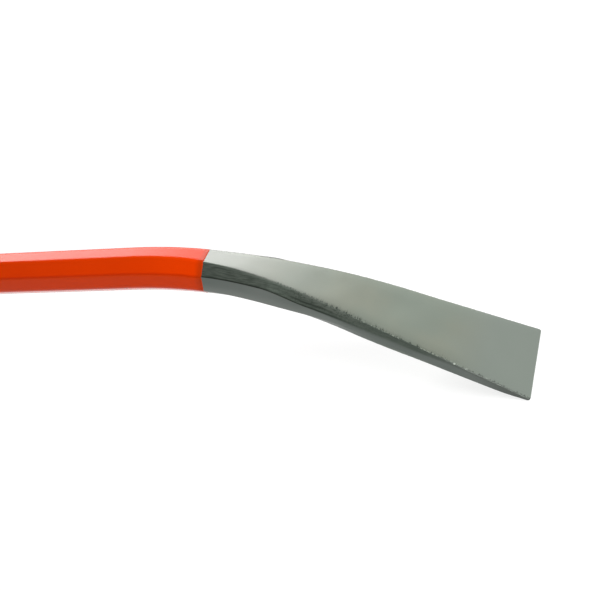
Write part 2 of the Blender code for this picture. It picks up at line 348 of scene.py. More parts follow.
def claw_section(run):
    """Octagon drawn out to a broad thin claw, sharpened on its inner face."""
    arc = HOOK_RADIUS * HOOK_ANGLE
    forged = smooth(run, (arc - CLAW_FORGING_LEAD, arc))
    thinned = ramp(run, arc, claw_run())
    up = mix(STOCK_HALF, CLAW_ROOT_HALF_THICKNESS, forged)
    up -= (CLAW_ROOT_HALF_THICKNESS - CLAW_TIP_HALF_THICKNESS) * thinned
    sharpened = ramp(run, claw_run() - CLAW_EDGE_GRIND_LENGTH, claw_run())
    down = up - (2 * CLAW_TIP_HALF_THICKNESS - CLAW_EDGE_LAND) * sharpened

    half_width = mix(STOCK_HALF, CLAW_ROOT_HALF, forged)
    half_width += (CLAW_TIP_HALF - CLAW_ROOT_HALF) * thinned ** CLAW_FLARE_POWER
    spread = smooth(run, (arc - CLAW_FORGING_LEAD, claw_run()))
    face = mix(stock_facet_half(), half_width - LEAST_CHAMFER, spread)
    side_up = min(stock_facet_half(), least_land(up))
    side_down = min(stock_facet_half(), least_land(down))
    inset = corner_inset(run, claw_run(), CLAW_CORNER_RADIUS)
    arris = fitted_arris(half_width, face, up, side_up, side_down)
    return Section(half_width - inset, up, down, face - inset, side_up, side_down, arris)


def standing():
    """Turn and shift from the shaft's own frame to the bar standing on its two tips."""
    return Matrix.Translation(SHAFT_END) @ Matrix.Rotation(SHAFT_FALL, 4, "Y")


def shrunk(section, depth):
    """The section with every facet moved inward by one depth."""
    corner = depth * math.tan(math.pi / 8)
    return section._replace(
        half_width=section.half_width - depth,
        up=section.up - depth,
        down=section.down - depth,
        face=section.face - corner,
        side_up=section.side_up - corner,
        side_down=section.side_down - corner,
    )


def bar_cut(station, section, along, bare, wander=0, crown=0):
    """One cut through the bar: its centre and rise as it stands, and its sizes."""
    x, z, pitch = station
    stands = standing()
    rise = stands.to_3x3() @ Vector((math.sin(pitch), 0, math.cos(pitch)))
    return Cut(
        centre=stands @ Vector((x, 0, z)),
        rise=rise,
        widths=Vector((section.face, section.half_width, 0)),
        heights_up=Vector((section.up, section.side_up, 0)),
        heights_down=Vector((section.down, section.side_down, 0)),
        arris=section.arris / STOCK_ARRIS,
        along=along,
        bare=bare,
        wander=wander,
        crown=crown * CROWN_SLOPE * section.face / CROWN_POWER,
    )


def spaced(start, end, spacing):
    """Even steps from the start up to, but without, the end."""
    count = max(1, math.ceil(abs(end - start) / spacing))
    return [mix(start, end, index / count) for index in range(count)]


def quarter_round(reach, depth):
    """Rounding of an edge: (distance back from the edge, depth below the surface) pairs."""
    steps = [math.radians(angle) for angle in ROUNDING_ANGLES]
    return [(reach * (1 - math.sin(step)), depth * (1 - math.cos(step))) for step in steps]


def shaft_cuts():
    """Cuts of the enamelled shaft, from the lip at the claw to the lip at the chisel end."""
    claw_end_run = claw_paint_run()
    total = claw_end_run + STRAIGHT_LENGTH + CHISEL_PAINT_RUN
    lip = [(back, COAT_SETBACK + depth) for back, depth in quarter_round(LIP_LENGTH, COAT)]
    cuts = []

    hook = spaced(claw_end_run - LIP_LENGTH - LIP_CLEARANCE, 0.0, BEND_SPACING)
    runs = [(claw_end_run - back, depth) for back, depth in reversed(lip)]
    runs += [(run, COAT_SETBACK) for run in hook]
    for run, depth in runs:
        along = claw_end_run - run
        cuts.append(bar_cut(claw_station(run), shrunk(claw_section(run), depth), along, along))

    straight = spaced(-STRAIGHT_LENGTH, 0.0, STRAIGHT_SPACING)
    bend = spaced(0.0, CHISEL_PAINT_RUN - LIP_LENGTH - LIP_CLEARANCE, BEND_SPACING)
    runs = [(run, COAT_SETBACK) for run in straight + bend]
    runs += [(CHISEL_PAINT_RUN - back, depth) for back, depth in lip]
    for run, depth in runs:
        along = claw_end_run + STRAIGHT_LENGTH + run
        section = shrunk(chisel_section(run), depth)
        cuts.append(bar_cut(chisel_station(run), section, along, min(along, total - along)))
    return cuts


def bare_depth(run, paint_run, tip_run):
    """Depth of the bare steel below the forged size: under the enamel, and at the last edge."""
    under_coat = (COAT_SETBACK + COAT) * (1 - smooth(run, (paint_run, paint_run + COAT_FADE)))
    return under_coat + corner_inset(run, tip_run, END_ROUNDING)


def end_cuts(station, section, paint_run, tip_run, corner_radius, spacing):
    """Cuts of a bare end, from just inside the enamel to the tip, finest at the tip corners."""
    corner_run = tip_run - corner_radius
    runs = spaced(paint_run - COAT_OVERLAP, corner_run, spacing)
    runs += [tip_run - back for back, _ in quarter_round(corner_radius, 0)]
    runs += [tip_run - back for back, _ in quarter_round(END_ROUNDING, 0)[:-1]]
    cuts = []
    for run in sorted(runs):
        wander = smooth(run, (paint_run, paint_run + WANDER_LEAD))
        wander *= 1 - smooth(run, (tip_run - WANDER_FADE, tip_run))
        crown = smooth(run, (paint_run, paint_run + CROWN_LEAD))
        crown *= 1 - smooth(run, (tip_run - CROWN_FADE, tip_run))
        bare_section = shrunk(section(run), bare_depth(run, paint_run, tip_run))
        at_corner = smooth(run, (corner_run - ARRIS_FADE, corner_run))
        arris = min(bare_section.arris, GROUND_ARRIS) * (1 - at_corner)
        bare_section = bare_section._replace(arris=arris)
        cuts.append(bar_cut(station(run), bare_section, run, run - paint_run, wander, crown))
    return cuts


def linked(name, data):
    """New object in the scene for a mesh, a lamp or a camera."""
    thing = bpy.data.objects.new(name, data)
    bpy.context.scene.collection.objects.link(thing)
    return thing


def centre_line(name, cuts):
    """Line through the cuts' centres, each point with its cut's sizes as attributes."""
    mesh = bpy.data.meshes.new(name)
    edges = [(index, index + 1) for index in range(len(cuts) - 1)]
    mesh.from_pydata([cut.centre for cut in cuts], edges, [])
    for field in Cut._fields[1:]:
        is_vector = isinstance(getattr(cuts[0], field), Vector)
        kind = "FLOAT_VECTOR" if is_vector else "FLOAT"
        attribute = mesh.attributes.new(field, kind, "POINT")
        for item, cut in zip(attribute.data, cuts):
            setattr(item, "vector" if is_vector else "value", getattr(cut, field))
    return linked(name, mesh)


def octagon_corners():
    """Corners of the octagon in order, each by the shares that it takes of the section's widths,
    heights above and heights below."""
    corners = []
    for side, low in ((1, False), (1, True), (-1, True), (-1, False)):
        face = (Vector((side, 0, 0)), Vector((not low, 0, 0)), Vector((low, 0, 0)))
        flank = (Vector((0, side, 0)), Vector((0, not low, 0)), Vector((0, low, 0)))
        corners += [flank, face] if (side > 0) == low else [face, flank]
    return corners


def octagon_profile(columns):
    """Closed ring of points that says what share of each section size a point takes. The points
    of a facet stand closer toward its corners."""
    corners = octagon_corners()
    shares = []
    marks = []
    for index, corner in enumerate(corners):
        following = corners[(index + 1) % len(corners)]
        count = columns[index]
        for step in range(count):
            even = step / count
            share = mix(even, 0.5 - 0.5 * math.cos(math.pi * even), 0.5)
            shares.append([near.lerp(far, share) for near, far in zip(corner, following)])
            marks.append(1.0 if step == 0 else 0.0)
    turns = [2 * math.pi * index / len(shares) for index in range(len(shares))]
    ring = [(math.cos(turn), math.sin(turn), 0) for turn in turns]
    edges = [(index, (index + 1) % len(shares)) for index in range(len(shares))]
    mesh = bpy.data.meshes.new("octagon_profile")
    mesh.from_pydata(ring, edges, [])
    for place, name in enumerate(("across", "above", "below")):
        attribute = mesh.attributes.new(name, "FLOAT_VECTOR", "POINT")
        for item, weights in zip(attribute.data, shares):
            item.vector = weights[place]
    attribute = mesh.attributes.new("corner", "FLOAT", "POINT")
    for item, mark in zip(attribute.data, marks):
        item.value = mark
    return linked("octagon_profile", mesh)


def socket(sockets, key):
    """The socket at an index, or the one in use with a name."""
    if isinstance(key, int):
        return sockets[key]
    return next(item for item in sockets if item.name == key and item.enabled)


def add(tree, kind, inputs=None, **settings):
    """Add a node with its settings, and give each named input its value or link."""
    node = tree.nodes.new(kind)
    for name, value in settings.items():
        setattr(node, name, value)
    for key, value in (inputs or {}).items():
        target = socket(node.inputs, key)
        if isinstance(value, bpy.types.NodeSocket):
            tree.links.new(value, target)
        else:
            target.default_value = value
    return node


def maths(tree, operation, *values, clamp=False):
    """One step of arithmetic on numbers or sockets."""
    inputs = dict(enumerate(values))
    return add(tree, "ShaderNodeMath", inputs, operation=operation, use_clamp=clamp).outputs[0]


def product(tree, first, *others):
    """All the values multiplied, from left to right."""
    for other in others:
        first = maths(tree, "MULTIPLY", first, other)
    return first


def joined(tree, x=0.0, y=0.0, z=0.0):
    """Vector of three numbers or sockets."""
    return add(tree, "ShaderNodeCombineXYZ", {0: x, 1: y, 2: z}).outputs[0]


def parts(tree, vector):
    """The three parts of a vector."""
    return add(tree, "ShaderNodeSeparateXYZ", {0: vector}).outputs


def vector_sum(tree, first, second):
    inputs = {0: first, 1: second}
    return add(tree, "ShaderNodeVectorMath", inputs, operation="ADD").outputs[0]


def scaled(tree, vector, factor):
    inputs = {0: vector, "Scale": factor}
    return add(tree, "ShaderNodeVectorMath", inputs, operation="SCALE").outputs[0]


def dot(tree, first, second):
    inputs = {0: first, 1: second}
    node = add(tree, "ShaderNodeVectorMath", inputs, operation="DOT_PRODUCT")
    return socket(node.outputs, "Value")


def noise(tree, vector, scale, detail=2.0, roughness=0.5):
    return add(tree, "ShaderNodeTexNoise", {
        "Vector": vector,
        "Scale": scale,
        "Detail": detail,
        "Roughness": roughness,
    }).outputs[0]


def named(tree, name, kind="FLOAT"):
    """An attribute of the geometry, by its name."""
    node = add(tree, "GeometryNodeInputNamedAttribute", data_type=kind)
    node.inputs["Name"].default_value = name
    return socket(node.outputs, "Attribute")


def stored(tree, geometry, name, kind, domain, value):
    """The geometry with the value kept in a named attribute."""
    return add(tree, "GeometryNodeStoreNamedAttribute", {
        "Geometry": geometry,
        "Name": name,
        "Value": value,
    }, data_type=kind, domain=domain).outputs["Geometry"]


def wandering(tree, layer, amount, length, seed):
    """Noise along the bar, from minus to plus the amount, that differs on the two sides."""
    on_face, on_flank, _ = parts(tree, named(tree, "across", "FLOAT_VECTOR"))
    side = maths(tree, "SIGN", maths(tree, "ADD", on_face, on_flank))
    along = maths(tree, "DIVIDE", named(tree, "along"), length)
    pattern = add(tree, "ShaderNodeTexNoise", {
        "Vector": joined(tree, along, product(tree, side, SIDE_LAYER), layer),
        "W": seed,
        "Scale": 1.0,
        "Detail": 3.0,
        "Roughness": 0.65,
    }, noise_dimensions="4D").outputs[0]
    swing = product(tree, maths(tree, "SUBTRACT", pattern, 0.5), 2.0)
    return product(tree, swing, product(tree, amount, named(tree, "wander")))


def crowned(tree, y, face_half, above, below):
    """How far a point of the upper or lower face stands out over its corners, with the low waves
    that grinding by hand leaves."""
    share = maths(tree, "DIVIDE", maths(tree, "ABSOLUTE", y), face_half, clamp=True)
    height = maths(tree, "SUBTRACT", 1.0, maths(tree, "POWER", share, CROWN_POWER))
    spot = joined(tree, named(tree, "along"), y, CROWN_LAYER)
    waves = noise(tree, spot, scale=1 / CROWN_WAVE_LENGTH, detail=1.0)
    waves = maths(tree, "MULTIPLY_ADD", waves, CROWN_WAVES, 1 - CROWN_WAVES / 2)
    facing = maths(tree, "SUBTRACT", parts(tree, above)[0], parts(tree, below)[0])
    return product(tree, height, waves, named(tree, "crown"), facing)


def swept(tree, line, profile):
    """The profile drawn along the centre line, which keeps its own points as centres."""
    position = add(tree, "GeometryNodeInputPosition").outputs[0]
    line = stored(tree, line, "centre", "FLOAT_VECTOR", "POINT", position)
    rail = add(tree, "GeometryNodeMeshToCurve", {"Mesh": line}).outputs[0]
    shape = add(tree, "GeometryNodeObjectInfo", {"Object": profile}).outputs
    outline = add(tree, "GeometryNodeMeshToCurve", {"Mesh": socket(shape, "Geometry")}).outputs[0]
    return add(tree, "GeometryNodeCurveToMesh", {
        "Curve": rail,
        "Profile Curve": outline,
        "Fill Caps": True,
    }).outputs[0]


def skin_places(tree, given):
    """Where each point of the skin goes, and two places in mm for the materials: past the edges
    of the facets and the enamel, and along, across and up the bar."""
    across = named(tree, "across", "FLOAT_VECTOR")
    above = named(tree, "above", "FLOAT_VECTOR")
    below = named(tree, "below", "FLOAT_VECTOR")
    pattern = (given["Wander Length"], given["Seed"])
    face_shift = wandering(tree, FACE_LAYER, given["Face Wander"], *pattern)
    flank_shift = wandering(tree, FLANK_LAYER, given["Flank Wander"], *pattern)
    widths = vector_sum(tree, named(tree, "widths", "FLOAT_VECTOR"), joined(tree, x=face_shift))
    rises = vector_sum(tree, named(tree, "heights_up", "FLOAT_VECTOR"), joined(tree, y=flank_shift))
    falls = named(tree, "heights_down", "FLOAT_VECTOR")
    face_half = parts(tree, widths)[0]
    y = dot(tree, across, widths)
    flat = maths(tree, "SUBTRACT", dot(tree, above, rises), dot(tree, below, falls))
    level = maths(tree, "ADD", flat, crowned(tree, y, face_half, above, below))

    lifted = scaled(tree, named(tree, "rise", "FLOAT_VECTOR"), level)
    offset = vector_sum(tree, lifted, joined(tree, y=y))
    place = vector_sum(tree, named(tree, "centre", "FLOAT_VECTOR"), offset)

    out = maths(tree, "SUBTRACT", maths(tree, "ABSOLUTE", y), face_half)
    over = maths(tree, "SUBTRACT", level, parts(tree, rises)[1])
    under = maths(tree, "SUBTRACT", product(tree, level, -1.0), parts(tree, falls)[1])
    drop = maths(tree, "MAXIMUM", over, under)
    edge_place = scaled(tree, joined(tree, out, drop, named(tree, "bare")), PER_MM)
    bar_place = scaled(tree, joined(tree, named(tree, "along"), y, level), PER_MM)
    return place, edge_place, bar_place


def bar_skin_tree():
    """Skins a centre line with the octagonal section that its points describe."""
    tree = bpy.data.node_groups.new("bar_skin", "GeometryNodeTree")
    for name, kind in SKIN_INPUTS.items():
        tree.interface.new_socket(name, in_out="INPUT", socket_type=kind)
    tree.interface.new_socket("Bar", in_out="OUTPUT", socket_type="NodeSocketGeometry")
    given = tree.nodes.new("NodeGroupInput").outputs
    skin = swept(tree, given["Centre Line"], given["Profile"])
    place, edge_place, bar_place = skin_places(tree, given)
    is_arris = maths(tree, "GREATER_THAN", named(tree, "corner"), CORNER_MARK)
    weight = product(tree, is_arris, named(tree, "arris"))
    skin = stored(tree, skin, "edge_place", "FLOAT_VECTOR", "CORNER", edge_place)
    skin = stored(tree, skin, "bar_place", "FLOAT_VECTOR", "CORNER", bar_place)
    skin = stored(tree, skin, "bevel_weight_edge", "FLOAT", "EDGE", weight)
    skin = add(tree, "GeometryNodeSetPosition", {"Geometry": skin, "Position": place}).outputs[0]
    skin = add(tree, "GeometryNodeRealizeInstances", {"Geometry": skin}).outputs[0]
    skin = add(tree, "GeometryNodeSetMaterial", {"Geometry": skin, "Material": given["Finish"]})
    end = tree.nodes.new("NodeGroupOutput")
    tree.links.new(skin.outputs[0], end.inputs[0])
    return tree


def put_inputs(modifier, tree, values):
    """Set a modifier's inputs by the identifiers of the sockets that carry their names."""
    for item in tree.interface.items_tree:
        if item.item_type == "SOCKET" and item.in_out == "INPUT" and item.name in values:
            modifier[item.identifier] = values[item.name]


def turned_outward(mesh):
    """Turn the faces of a closed skin to point out of it, whichever way its centre line ran."""
    shell = bmesh.new()
    shell.from_mesh(mesh)
    bmesh.ops.recalc_face_normals(shell, faces=shell.faces)
    shell.to_mesh(mesh)
    shell.free()


def skinned(name, cuts, tree, profile, finish, wander=(0.0, 0.0), cutter=None):
    """Skin the cuts, round the arrises, take out the cutter's shape and keep one plain mesh."""
    line = centre_line(name + "_line", cuts)
    skin = line.modifiers.new("skin", "NODES")
    skin.node_group = tree
    put_inputs(skin, tree, {
        "Profile": profile,
        "Face Wander": wander[0],
        "Flank Wander": wander[1],
        "Wander Length": WANDER_LENGTH,
        "Seed": WANDER_SEED,
        "Finish": finish,
    })
    arris = line.modifiers.new("arris", "BEVEL")
    arris.limit_method = "WEIGHT"
    arris.width = STOCK_ARRIS
    arris.segments = ARRIS_SEGMENTS
    arris.use_clamp_overlap = False
    if cutter:
        opening = line.modifiers.new("opening", "BOOLEAN")
        opening.operation = "DIFFERENCE"
        opening.solver = "EXACT"
        opening.object = cutter
    evaluated = line.evaluated_get(bpy.context.evaluated_depsgraph_get())
    mesh = bpy.data.meshes.new_from_object(evaluated)
    line.modifiers.clear()
    bpy.data.objects.remove(line)
    for field in SKIN_FIELDS:
        if field in mesh.attributes:
            mesh.attributes.remove(mesh.attributes[field])
    mesh.name = name
    turned_outward(mesh)
    mesh.shade_smooth()
    mesh.set_sharp_from_angle(angle=SHARP_ANGLE)
    return linked(name, mesh)


def place_in_claw(run_from_middle, y, level, middle):
    """Point in the frame of the claw at the slot's middle, with the bar standing."""
    x, z, pitch = claw_station(middle)
    rise = Vector((math.sin(pitch), 0, math.cos(pitch)))
    along = Vector((-math.cos(pitch), 0, math.sin(pitch)))
    return standing() @ (Vector((x, y, z)) + rise * level + along * run_from_middle)


def slot_cutter():
    """Drafted wedge with a round root, wider on the claw's inner face."""
    middle = claw_run() - SLOT_LENGTH / 2
    root_centre = claw_run() - SLOT_LENGTH + SLOT_ROOT_WIDTH / 2
    slope = (SLOT_MOUTH_WIDTH - SLOT_ROOT_WIDTH) / 2 / (claw_run() - root_centre)
    beyond = claw_run() + SLOT_OVERSHOOT
    points = []
    for level in (SLOT_REACH, -SLOT_REACH):
        widening = math.tan(SLOT_WALL_DRAFT) * (CLAW_TIP_HALF_THICKNESS - level) / 2
        mouth = SLOT_MOUTH_WIDTH / 2 + widening + slope * SLOT_OVERSHOOT
        radius = SLOT_ROOT_WIDTH / 2 + widening
        outline = [(beyond, -mouth), (beyond, mouth)]
        for index in range(SLOT_ROOT_STEPS + 1):
            angle = math.pi * (0.5 + index / SLOT_ROOT_STEPS)
            outline.append((root_centre + radius * math.cos(angle), radius * math.sin(angle)))
        points.append([place_in_claw(run - middle, y, level, middle) for run, y in outline])
    count = len(points[0])
    faces = [tuple(reversed(range(count))), tuple(range(count, 2 * count))]
    for index in range(count):
        after = (index + 1) % count
        faces.append((index, after, count + after, count + index))
    mesh = bpy.data.meshes.new("nail_slot")
    mesh.from_pydata(points[0] + points[1], [], faces)
    mesh.validate()
    cutter = linked("nail_slot", mesh)
    cutter.hide_render = True
    return cutter


# The materials read two places from the skin, both in mm. The edge place says how far a point lies
# past the ground face's border (out), beyond the flank's upper or lower edge (drop) and past the
# enamel (bare). The bar place says how far it lies along the bar, across it (y) and over its centre
# line (level).


def principled(name):
    """New material with its tree and its shader."""
    finish = bpy.data.materials.new(name)
    finish.use_nodes = True
    tree = finish.node_tree
    return finish, tree, tree.nodes["Principled BSDF"]


def attribute_parts(tree, name):
    """The three parts of a vector attribute of the piece."""
    source = add(tree, "ShaderNodeAttribute", attribute_name=name)
    return parts(tree, source.outputs["Vector"])


def eased(tree, value, start, end):
    """Ease from 0 to 1 as the value goes from start to end, up or down."""
    node = add(tree, "ShaderNodeMapRange", {
        "Value": value,
        "From Min": start,
        "From Max": end,
        "To Min": 0.0,
        "To Max": 1.0,
    }, interpolation_type="SMOOTHSTEP", clamp=True)
    return node.outputs[0]


def blended(tree, share, first, second):
    """Colour between two others."""
    return socket(add(tree, "ShaderNodeMix", {
        "Factor": share,
        "A": first,
        "B": second,
    }, data_type="RGBA").outputs, "Result")


def toned(tree, base, colour, *shares):
    """The base turned toward a colour by the product of the shares."""
    return blended(tree, product(tree, *shares), base, colour)


def on_near_side(tree, y):
    """1 on the side that faces the camera and 0 on the other."""
    return eased(tree, y, 0.5, -0.5)


def drawn_across(tree, place, share):
    """Bar place for a pattern that is drawn out across the bar."""
    along, y, level = place
    return joined(tree, along, product(tree, y, share), product(tree, level, share))


def drawn_along(tree, place):
    """Bar place for a pattern that is drawn out along the bar, as grinding leaves it."""
    along, y, level = place
    return joined(tree, product(tree, along, GRINDING_DRAW), y, level)


def orange_enamel():
    """Thick glossy enamel: painted shade darkens its side facets, it is darker along the arrises and
    thinner at its lips, and it has a faint orange peel."""
    finish, tree, shader = principled("orange_enamel")
    shader.inputs["Specular IOR Level"].default_value = ENAMEL_GLOSS
    shader.inputs["Specular Tint"].default_value = ENAMEL_GLOSS_TINT
    spot = add(tree, "ShaderNodeTexCoord").outputs["Object"]
    _, drop, from_lip = attribute_parts(tree, "edge_place")
    from_arris = maths(tree, "ABSOLUTE", drop)
    clouds = noise(tree, spot, scale=45.0, detail=3.0)
    colour = blended(tree, clouds, ENAMEL_BODY, ENAMEL_CLOUD)
    # Painted shade: the side facets get a darker tone than the rest of the enamel.
    colour = toned(tree, colour, ENAMEL_SIDE_SHADE, eased(tree, drop, 0.1, -0.4), 0.8)
    colour = toned(tree, colour, ENAMEL_ARRIS, eased(tree, from_arris, 0.8, 0.0), 0.5)
    colour = toned(tree, colour, ENAMEL_LIP, eased(tree, from_lip, 4.0, 0.3), 0.6)
    tree.links.new(colour, shader.inputs["Base Color"])
    streaks = noise(tree, spot, scale=160.0)
    rough = maths(tree, "MULTIPLY_ADD", streaks, ENAMEL_STREAK_ROUGHNESS, ENAMEL_ROUGHNESS)
    tree.links.new(rough, shader.inputs["Roughness"])
    peel = add(tree, "ShaderNodeBump", {
        "Strength": 0.05,
        "Distance": 0.1 * MM,
        "Height": noise(tree, spot, scale=700.0, detail=1.0),
    })
    tree.links.new(peel.outputs[0], shader.inputs["Normal"])
    return finish


def scaled_corner(tree, place, edge, ragged):
    """How much of the dark forged corner shows, and the distance past its ragged upper border,
    where the grinding strokes ran out and, on the near side, painted shade pushes it over the arris.
    It fades softly onto the flank where it gets narrow."""
    out, drop, bare = edge
    near_side = on_near_side(tree, place[1])
    strokes = noise(tree, drawn_across(tree, place, share=0.14), scale=1.5, detail=3.0, roughness=0.8)
    clusters = noise(tree, drawn_across(tree, place, share=0.16), scale=0.22, detail=1.0)
    reach = product(tree, eased(tree, bare, 12.0, 46.0), eased(tree, clusters, 0.2, 0.5))
    reach = maths(tree, "MULTIPLY_ADD", reach, ragged, 0.8)
    reach = product(tree, reach, maths(tree, "MULTIPLY_ADD", near_side, 0.65, 0.35))
    ticks = product(tree, maths(tree, "SUBTRACT", strokes, 0.5, clamp=True), reach)

    lumps = noise(tree, drawn_across(tree, place, share=0.4), scale=0.38, detail=3.0, roughness=0.7)
    lumps = maths(tree, "SUBTRACT", lumps, 0.44, clamp=True)
    lumps = product(tree, lumps, eased(tree, bare, 30.0, 56.0), near_side)
    border = maths(tree, "ADD", maths(tree, "MULTIPLY_ADD", lumps, 1.7, out), ticks)
    # Painted shade: on the near side the dark scale is pushed over the arris and onto the face, so
    # that the arris shows no highlight.
    late_arris_shade = product(tree, eased(tree, bare, 25.0, 60.0), 0.2)
    early_arris_shade = product(tree, eased(tree, bare, 20.0, 8.0), 0.45)
    spread = maths(tree, "ADD", late_arris_shade, early_arris_shade)
    border = maths(tree, "MULTIPLY_ADD", spread, near_side, border)

    upper = eased(tree, border, -0.25, 0.3)
    soft = maths(tree, "MULTIPLY_ADD", eased(tree, bare, 40.0, 70.0), -1.2, -0.15)
    return product(tree, upper, eased(tree, drop, soft, 0.2)), border


def forge_scale(tree, place, edge):
    """Streaky dark scale: paler below the ground face, partly by painted light on its upper part near
    the enamel, with dark lines along the flank.
    """
    out, drop, bare = edge
    streaky = drawn_along(tree, place)
    streaks = noise(tree, streaky, scale=1.9, detail=3.0, roughness=0.6)
    colour = blended(tree, eased(tree, streaks, 0.3, 0.7), SCALE_PALE, SCALE_DARK)
    colour = toned(tree, colour, SCALE_WORN, eased(tree, bare, 18.0, 29.0), 0.42)
    # Painted light: the scale just below the ground face is lightened near the enamel, in place of
    # the light that a rounded chamfer would catch.
    painted_crest_light = product(tree, eased(tree, out, 0.9, 0.0), eased(tree, bare, 52.0, 32.0))
    colour = toned(tree, colour, SCALE_CREST_LIGHT, painted_crest_light, 0.55)
    pits = noise(tree, joined(tree, *place), scale=1.1, roughness=0.6)
    pits = product(tree, eased(tree, pits, 0.50, 0.62), eased(tree, bare, 22.0, 40.0))
    colour = toned(tree, colour, SCALE_PIT, pits, 0.4)

    bend = maths(tree, "MULTIPLY_ADD", noise(tree, streaky, scale=0.6), 1.2, 0.9)
    from_line = maths(tree, "ABSOLUTE", maths(tree, "SUBTRACT", drop, bend))
    line = product(tree, eased(tree, from_line, 0.45, 0.1), eased(tree, bare, 34.0, 44.0), 0.7)
    lines = maths(tree, "MAXIMUM", eased(tree, drop, 0.7, 0.15), line)
    colour = toned(tree, colour, SCALE_LINE, lines, eased(tree, bare, 80.0, 56.0))
    colour = toned(tree, colour, SCALE_NARROW, eased(tree, bare, 45.0, 70.0), 0.6)
    shoulder = product(tree, eased(tree, out, 1.7, 0.2), maths(tree, "SUBTRACT", 1.0, pits),
                       eased(tree, bare, 34.0, 48.0), eased(tree, bare, 76.0, 60.0))
    colour = toned(tree, colour, SCALE_SHOULDER, shoulder, 0.42)
    # Painted shade: the arris above the scale is darkened so that it shows none of the highlight it
    # catches from the front softbox.
    arris = product(tree, eased(tree, out, 0.07, 0.0), eased(tree, bare, 48.0, 60.0))
    colour = toned(tree, colour, SCALE_ARRIS_SHADE, arris, 0.5)
    return toned(tree, colour, SCALE_TIP, eased(tree, bare, 92.0, 120.0))


def smudge_and_shade(tree, place, edge, border):
    """How much the ground face darkens beside the scaled corner on the near side: painted shade where
    a crowned face would reflect less light, and a smudged look close to the border.
    """
    out, _, bare = edge
    beside = product(tree, eased(tree, bare, 34.0, 60.0), eased(tree, bare, 126.0, 98.0),
                     on_near_side(tree, place[1]))
    # Painted shade in place of a crowned face's reflection falling off toward the near corner.
    crown_shade = product(tree, eased(tree, out, -7.0, 0.0), 0.12)
    tight = product(tree, eased(tree, border, -1.9, 0.3), 0.30)
    return product(tree, maths(tree, "ADD", crown_shade, tight), beside)


def chips_and_glints(tree, place, edge):
    """Small bright chips in clusters where the sander broke through the scale, painted brighter than
    the ground steel as glints.
    """
    out, drop, bare = edge
    chips = noise(tree, drawn_across(tree, place, share=0.7), scale=0.9, detail=1.0)
    clusters = noise(tree, drawn_across(tree, place, share=0.1), scale=0.11, detail=1.0)
    late = product(tree, eased(tree, bare, 102.0, 110.0), eased(tree, bare, 130.0, 122.0))
    likely = maths(tree, "MAXIMUM", eased(tree, clusters, 0.58, 0.68), late)
    found = product(tree, eased(tree, chips, 0.62, 0.70), likely)
    from_border = maths(tree, "ABSOLUTE", maths(tree, "ADD", out, 0.3))
    near = product(tree, eased(tree, from_border, 0.8, 0.3), eased(tree, drop, 0.0, 0.3))
    return product(tree, found, near, eased(tree, bare, 50.0, 66.0))


def ground_face(tree, place, edge, border, mottle):
    """Mottled ground steel, with painted shade near the enamel and beside the scaled corner."""
    _, _, bare = edge
    colour = blended(tree, mottle, GROUND_COOL, GROUND_WARM)
    colour = toned(tree, colour, GROUND_TIP, eased(tree, bare, 100.0, 125.0))
    # Painted shade: the ground face is darkened near the enamel to hold down the highlight there.
    colour = blended(tree, eased(tree, bare, 0.0, 85.0), GROUND_SHADE_BY_PAINT, colour)
    # Painted shade beside the scaled corner on the near side, with a smudged look at its border.
    return toned(tree, colour, GROUND_SMUDGE_AND_SHADE, smudge_and_shade(tree, place, edge, border))


def forged_flank(tree, place, edge, mottle):
    """Dull forged steel, paler low down near the enamel and darker near the tip."""
    _, _, bare = edge
    colour = blended(tree, mottle, FLANK_COOL, FLANK_WARM)
    low = eased(tree, place[2], 1.5, -3.5)
    colour = toned(tree, colour, FLANK_LOW, low, 0.5, eased(tree, bare, 80.0, 50.0))
    return toned(tree, colour, FLANK_TIP, eased(tree, bare, 112.0, 140.0), 0.6)


def bare_steel(name, ragged):
    """Ground faces over dull forged flanks, with dark scale left in the upper corners."""
    finish, tree, shader = principled(name)
    shader.inputs["Metallic"].default_value = 1.0
    spot = add(tree, "ShaderNodeTexCoord").outputs["Object"]
    edge = attribute_parts(tree, "edge_place")
    place = attribute_parts(tree, "bar_place")
    out, drop, _ = edge
    is_upper = eased(tree, place[2], -0.6, 0.6)
    corner, border = scaled_corner(tree, place, edge, ragged)
    scale = product(tree, corner, is_upper)
    lower_corner = product(tree, eased(tree, out, -0.1, 0.2),
                           maths(tree, "SUBTRACT", 1.0, is_upper))
    is_ground = maths(tree, "SUBTRACT", eased(tree, drop, -0.2, 0.15), lower_corner, clamp=True)

    mottle = eased(tree, noise(tree, spot, scale=30.0, detail=3.0), 0.3, 0.7)
    flank = forged_flank(tree, place, edge, mottle)
    ground = ground_face(tree, place, edge, border, mottle)
    colour = blended(tree, is_ground, flank, ground)
    colour = blended(tree, scale, colour, forge_scale(tree, place, edge))
    # Chips in the scale, coloured brighter than the ground steel: partly painted glints.
    colour = toned(tree, colour, BRIGHT_CHIP_GLINT, chips_and_glints(tree, place, edge))
    tree.links.new(colour, shader.inputs["Base Color"])

    fine = noise(tree, drawn_along(tree, place), scale=6.0, detail=3.0, roughness=0.6)
    rough = maths(tree, "MULTIPLY_ADD", fine, GRAIN_ROUGHNESS, STEEL_ROUGHNESS)
    rough = maths(tree, "MULTIPLY_ADD", scale, SCALE_ROUGHNESS, rough)
    tree.links.new(rough, shader.inputs["Roughness"])
    grain = add(tree, "ShaderNodeBump", {
        "Strength": 0.10,
        "Distance": 0.05 * MM,
        "Height": fine,
    })
    tree.links.new(grain.outputs[0], shader.inputs["Normal"])
    return finish


def grey(level):
    return (level, level, level, 1)


def shown_in_gloss(tree):
    """1 for rays from the camera or out of a glossy or clear surface, else 0."""
    path = add(tree, "ShaderNodeLightPath").outputs
    seen = maths(tree, "MAXIMUM", path["Is Camera Ray"], path["Is Glossy Ray"])
    return maths(tree, "MAXIMUM", seen, path["Is Transmission Ray"])


